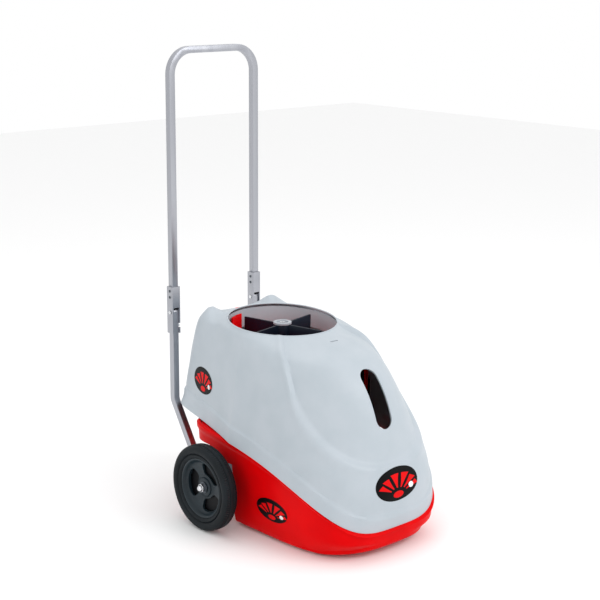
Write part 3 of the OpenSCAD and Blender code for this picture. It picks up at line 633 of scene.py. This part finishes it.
def tub_level(angle, v, inset=0.0):
    front = math.sin(angle) < 0
    reach = (TUB_MID + 322 + 4.75 * v if front else TUB_REAR - TUB_MID) - inset
    k = oval(angle, 170 + 15 * v ** 0.6 - inset, reach, follow(TUB_POWER, v) if front else 8)
    return k * math.cos(angle), TUB_MID + k * math.sin(angle)


def nose_lift(y):
    return 14 * (max(0, -y - 226.37) / 96) ** 1.3


def tub_row(angle, v, inset, low):
    x, y = tub_level(angle, v, inset)
    low += nose_lift(y)
    return Vector((x, y, low + (rim_z(y) - 0.6 - low) * v))


def tub_floor(angle, share, inset, z):
    x, y = tub_level(angle, 0, inset)
    y = TUB_MID + (y - TUB_MID) * share
    return Vector((x * share, y, z + nose_lift(y)))


def tub_outside(angle, s, deeper=0.0):
    """From the middle of the floor (s = 0) out, round the bottom corner and up to the rim (s = 1)."""
    if s < 0.12:
        return tub_floor(angle, s / 0.12, CORNER_R + deeper, FOOT + deeper)
    if s < 0.24:
        turn = (s - 0.12) / 0.12 * math.pi / 2
        inset, climb = CORNER_R * (1 - math.sin(turn)), CORNER_R * (1 - math.cos(turn))
        return tub_floor(angle, 1, deeper + inset, FOOT + deeper + climb)
    v = (s - 0.24) / 0.76
    beside_wheel = math.exp(-((tub_level(angle, v)[1] - 20) / 120) ** 2)
    hollow = 3.5 * math.sin(math.pi * min(1, v / 0.9)) * beside_wheel
    flange = 0 if deeper else FLANGE * ease(v, 0.9, 0.93)
    return tub_row(angle, v, hollow * (1 - deeper / TUB_WALL) + deeper - flange, FOOT + CORNER_R + deeper)


def tub_skin(u, v):
    angle = 2 * math.pi * u
    if v <= 0.62:
        return tub_outside(angle, v / 0.62)
    s = 1 - (v - 0.62) / 0.38
    if s > 0.25:
        return tub_row(angle, (s - 0.25) / 0.75, TUB_WALL, FOOT + 14)
    return tub_floor(angle, s / 0.25, TUB_WALL, FOOT + 14 - 10 * (1 - ease(s, 0.17, 0.25)))


tub = wrapped_sheet("tub", 224, 90, tub_skin)
ARCH = [(36, -5), (36, 150), (115, 150), (115, 177.6), (400, 177.6), (400, -5)]
across = Matrix.Rotation(math.radians(90), 4, "Z") @ Matrix.Rotation(math.radians(90), 4, "X")


def arch_block(name, grow):
    """The space that is cut away for axle and frame, grown forwards and upwards."""
    outline = [(y - (grow if i < 4 else 0), z + (grow if 0 < i < 5 else 0))
               for i, (y, z) in enumerate(ARCH)]
    return put(block(name, outline, 500), (0, 0, 0), across)


def liner_skin(u, v):
    """A closed body whose sides run inside the tub's wall, so that it joins the tub cleanly."""
    if v < 0.5:
        return tub_outside(2 * math.pi * u, 2 * v, TUB_WALL / 2)
    top = tub_outside(2 * math.pi * u, 1, TUB_WALL / 2)
    x, y = top.x * (2 - 2 * v), top.y * (2 - 2 * v)
    return Vector((x, y, rim_z(y) - 4))


liner = wrapped_sheet("liner", 224, 40, liner_skin)
combine(liner, arch_block("arch_grown", TUB_WALL), "INTERSECT")
combine(tub, liner, "UNION")
combine(tub, arch_block("arch_cut", 0))
round_edges(tub, 1.0)
finish_piece(tub, base_red, "base", "red_plastic", "base_tub")

# %% [markdown]
# ## Guard wall inside the collar
# Under the rolled collar a thin wall hangs down round the carousel and keeps the balls in its pockets. It
# is a tube whose top and bottom follow the tilt of the deck, with rounded edges.


# %% Ball guard
GUARD_IN, GUARD_OUT = 129, 131.5
GUARD_LOW, GUARD_H = 412, 43


def guard_skin(u, v):
    angle = 2 * math.pi * u
    turn = 2 * math.pi * v
    inner = math.cos(turn) < 0
    radius = GUARD_IN if inner else GUARD_OUT
    rise = 0.5 + 0.5 * max(-1, min(1, 1.4 * math.sin(turn)))
    x, y = radius * math.cos(angle), AXLE_Y + radius * math.sin(angle)
    return Vector((x, y, GUARD_LOW + GUARD_H * rise + COLLAR_SLOPE * (y - AXLE_Y)))


guard = wrapped_sheet("ball_guard", 160, 24, guard_skin)
smooth(guard)
finish_piece(guard, hood_grey, "hood", "hood_plastic")

# %% [markdown]
# ## Wheels
# Each tyre is solid rubber, turned round the axle from one section: a rounded shoulder, a groove where
# the sidewall meets the rim, and a tread with two running grooves and a fine cross pattern. The cross
# ribs are drawn 5.8 mm apart.

# %% Tyres
HALF_SECTION = [(70, 0), (70, 11), (71, 13), (73.5, 15.2), (77, 16.4), (78.6, 16.0), (79.4, 14.2),
                (80.4, 13.6), (81.4, 14.4), (82.4, 16.6), (84.5, 18.1), (88, 18.8), (91, 18.9), (94, 18.4),
                (97, 17.0), (99.2, 14.8), (100.6, 12.2), (101.2, 9.4), (101.4, 6.8), (100.2, 6.2),
                (99.4, 5.4), (100.2, 4.6), (101.5, 4.0), (101.6, 1.6)]
SECTION = [(r, x) for r, x in HALF_SECTION] + [(r, -x) for r, x in reversed(HALF_SECTION[1:])]
RIBS, RIB_DEPTH = 110, 1.7
TREAD_R = 98  # points further out than this belong to the tread


def about_axle(radius, x, angle):
    """A point of a wheel: its distance from the axle, place along it and direction round it."""
    return Vector((x, AXLE_Y + radius * math.cos(angle), WHEEL_R + radius * math.sin(angle)))


def on_section(section, v):
    """The (radius, x) point of a closed section at v."""
    return section[round(v * len(section)) % len(section)]


def turned(section):
    return lambda u, v: about_axle(*on_section(section, v), 2 * math.pi * u)


def tyre_skin(u, v):
    angle = 2 * math.pi * u
    radius, x = on_section(SECTION, v)
    on_tread = ease(abs(x), 6.4, 7.2) * (1 - ease(abs(x), 12.5, 15.5)) if radius > TREAD_R else 0
    wave = 0.5 + 0.5 * math.tanh(3 * math.sin(RIBS * angle))
    return about_axle(radius - RIB_DEPTH * on_tread * wave, x, angle)


def both_sides(piece_name, across, along, shape):
    """The same turned piece at the left and the right wheel, its outer face outwards."""
    pieces = []
    for name, sign in (("left", -1), ("right", 1)):
        def placed(u, v):
            p = shape(u, v)
            return Vector((sign * (WHEEL_X + p.x), p.y, p.z))
        pieces.append((name, wrapped_sheet(piece_name + "_" + name, across, along, placed)))
    return pieces


for name, tyre in both_sides("solid_tyre", RIBS * 4, len(SECTION), tyre_skin):
    smooth(tyre, 40)
    finish_piece(tyre, tyre_rubber, "wheel_" + name, "tyre", "tyre_" + name)

# %% [markdown]
# The hub is moulded nylon: a dish between a boss and a rim, with three kidney-shaped windows, and a black
# plate behind them as painted shade for their dark insides. The windows are cut through the turned dish,
# then every edge is rounded.

# %% Hubs
HUB_SECTION = [(9, 2), (19, 2), (21.4, 0.8), (22.6, -2), (25, -3.4), (34, -3.2), (46, -2), (57, 0),
               (60.5, 2.4), (63.5, 7), (65.4, 11.4), (67, 12.8), (70, 13), (70, 2), (70, -13), (66.5, -13),
               (62, -8), (57, -6), (46, -7.5), (34, -8), (25, -8), (22.4, -10), (21.5, -15.4), (19, -16),
               (9, -16), (9, -7)]
WINDOW_R, WINDOW_REACH, WINDOW_DEG = 43.5, 15.5, 41  # middle radius, then half its depth and half its angle


def kidney(middle_deg, turns=40):
    """Outline of a window: a ring sector with soft corners, about the axle."""
    outline = []
    for i in range(turns):
        a = 2 * math.pi * i / turns
        c, s = math.cos(a), math.sin(a)
        k = (abs(c) ** 4 + abs(s) ** 4) ** -0.25  # out to the edge of a square with round corners
        radius = WINDOW_R + WINDOW_REACH * k * c
        angle = math.radians(middle_deg + WINDOW_DEG * k * s)
        outline.append((radius * math.cos(angle), radius * math.sin(angle)))
    return outline


for name, hub in both_sides("dished_hub", 120, len(HUB_SECTION), turned(HUB_SECTION)):
    sign = -1 if name == "left" else 1
    for middle_deg in (0, 120, 240):
        window = block("window", kidney(middle_deg), 60)
        put(window, (sign * WHEEL_X, AXLE_Y, WHEEL_R), across)
        combine(hub, window)
    round_edges(hub, 1.0, 45, 2)
    finish_piece(hub, hub_slate, "wheel_" + name, "hub_plastic", "hub_" + name)


# A black ring that closes the windows from behind: painted shade for the dark insides of the windows.
SHADE_PLATE = [(23, -9), (66, -9), (67, -10.5), (66, -12), (23, -12), (22, -10.5)]


for name, plate in both_sides("hub_shade_plate", 96, len(SHADE_PLATE), turned(SHADE_PLATE)):
    smooth(plate)
    finish_piece(plate, case_black, "wheel_" + name, "hub_plastic")

# %% [markdown]
# ## Decals
# Five oval vinyl badges, one on the nose and one on each side of hood and base, carry a generic mark of
# our own: a fan of red blades rising from a red foot, with a white ball. Each layer starts as a flat
# sheet that is laid on the shell it sticks to, a fraction of a millimetre above the one beneath.


# %% Shapes on a badge, on a unit oval
def round_patch(cx, cy, rx, ry):
    def shape(u, v):
        a = 2 * math.pi * u
        return cx + rx * v * math.cos(a), cy + ry * v * math.sin(a)
    return shape


def blade(angle_deg, low, high, spread_deg):
    """A tapered bar that points away from the fan's foot."""
    def shape(u, v):
        r = low + (high - low) * v
        a = math.radians(angle_deg + spread_deg * (u - 0.5) * (0.45 + 0.55 * v))
        return 1.05 * r * math.cos(a), -0.62 + r * math.sin(a)
    return shape


BADGE_LAYERS = [("field", vinyl_black, round_patch(0, 0, 1, 1), 48, 10)]
for index, angle_deg in enumerate((28, 50, 72, 95, 118, 140)):
    reach = 1.28 - 0.3 * abs(angle_deg - 84) / 56
    BADGE_LAYERS.append((f"blade_{index}", vinyl_red, blade(angle_deg, 0.4, reach, 17), 6, 10))
BADGE_LAYERS.append(("foot", vinyl_red, round_patch(0, -0.62, 0.24, 0.2), 24, 5))
BADGE_LAYERS.append(("ball", vinyl_white, round_patch(0.62, -0.28, 0.12, 0.17), 24, 5))


def lay_badge(badge_name, body, slot, on_shell, flip=1):
    """on_shell(a, b, lift) gives the point of the shell under badge place (a, b), raised by lift."""
    for layer, (part, vinyl_sheet, shape, across_cells, along_cells) in enumerate(BADGE_LAYERS):
        lift = 0.35 + (0.25 if layer else 0)

        def on_badge(u, v):
            a, b = shape(u, v)
            return on_shell(flip * a, b, lift)

        sheet = wrapped_sheet(f"{badge_name}_{part}", across_cells, along_cells, on_badge)
        smooth(sheet)
        finish_piece(sheet, vinyl_sheet, body, slot)


# %% [markdown]
# The badges are laid by walking over the shell. A place on the badge becomes a direction round the shell
# and a height. Halving a range again and again then finds where the shell's own formula passes them.


# %% Finding places on a shell
HALVINGS = 13
STEP = 0.01


def halve(low, high, before):
    """The place between low and high up to which before(place) holds."""
    for _ in range(HALVINGS):
        middle = (low + high) / 2
        low, high = (middle, high) if before(middle) else (low, middle)
    return low


def raised(shell, angle, t, lift):
    """The point shell(angle, t), raised by lift along the shell's normal."""
    around = shell(angle + STEP, t) - shell(angle - STEP, t)
    along = shell(angle, t + STEP) - shell(angle, t - STEP)
    return shell(angle, t) + around.cross(along).normalized() * lift


def hood_place(angle, height, lift):
    t = halve(0.0, 1.0, lambda place: hood_outside(angle, place).z < height)
    return raised(hood_outside, angle, t, lift)


# %% Badges on the hood
NOSE_BADGE_Z, NOSE_BADGE_W, NOSE_BADGE_H = 161, 66, 38
SIDE_BADGE_Y, SIDE_BADGE_Z, SIDE_BADGE_W, SIDE_BADGE_H = 186, 312, 46, 31


def on_hood_nose(a, b, lift):
    angle = halve(-math.pi + 0.1, -0.1, lambda g: hood_level(g, 0.2).x < NOSE_BADGE_W * a)
    return hood_place(angle, NOSE_BADGE_Z + NOSE_BADGE_H * b, lift)


def on_hood_side(side, a, b, lift):
    y = SIDE_BADGE_Y + SIDE_BADGE_W * a
    angle = halve(-0.2, math.pi / 2 - 0.05, lambda g: hood_level(g, 0.4).y < y)
    p = hood_place(angle, SIDE_BADGE_Z + SIDE_BADGE_H * b, lift)
    return Vector((side * p.x, p.y, p.z))


lay_badge("nose_badge", "hood", "hood_plastic", on_hood_nose)
for badge_side, side in (("left", -1), ("right", 1)):
    lay_badge("hood_badge_" + badge_side, "hood", "hood_plastic",
              lambda a, b, lift, side=side: on_hood_side(side, a, b, lift), flip=side)


# %% Badges on the base
BASE_BADGE_Y, BASE_BADGE_Z, BASE_BADGE_W, BASE_BADGE_H = -102, 78, 54, 27


def on_base_side(side, a, b, lift):
    y, z = BASE_BADGE_Y + BASE_BADGE_W * a, BASE_BADGE_Z + BASE_BADGE_H * b
    angle = halve(-math.pi / 2 + 0.1, 0.9, lambda g: tub_level(g, 0.4)[1] < y)
    s = halve(0.24, 1.0, lambda place: tub_outside(angle, place).z < z)
    p = raised(tub_outside, angle, s, lift)
    return Vector((side * p.x, p.y, p.z))


for badge_side, side in (("left", -1), ("right", 1)):
    lay_badge("base_badge_" + badge_side, "base", "red_plastic",
              lambda a, b, lift, side=side: on_base_side(side, a, b, lift), flip=side)

# %% [markdown]
# A round red sticker lies on the hood's rear deck, between the opening and the back.

# %% Red spot on the rear deck
SPOT_R, SPOT_Y, SPOT_LIFT = 16, 214, 0.4


def deck_spot(u, v):
    reach, a = SPOT_R * v, 2 * math.pi * u
    x, y = reach * math.cos(a), SPOT_Y + reach * math.sin(a)
    outward = Vector((x, y - AXLE_Y, 0))
    angle = math.atan2(outward.y, outward.x)

    def beyond(t):
        p = hood_outside(angle, t)
        return math.hypot(p.x, p.y - AXLE_Y) > outward.length

    return Vector((x, y, hood_outside(angle, halve(0.8, 1.0, beyond)).z + SPOT_LIFT))


spot = smooth(wrapped_sheet("deck_spot", 36, 8, deck_spot))
finish_piece(spot, vinyl_red, "hood", "hood_plastic")

# %% [markdown]
# ## Floor
# A matte sheet of studio paper catches the faint shadow. It is only staging, so it is not part of the
# model.

# %% Floor
bpy.ops.object.select_all(action="DESELECT")
bpy.ops.mesh.primitive_plane_add(size=14, location=(0, 0, 0))
floor = bpy.context.object
floor.name = "studio_floor"
floor_white, _, floor_shader = new_material("matte_studio_paper", {"Roughness": 0.9})
floor_shader.inputs["Base Color"].default_value = (0.93, 0.93, 0.93, 1)
floor.data.materials.append(floor_white)
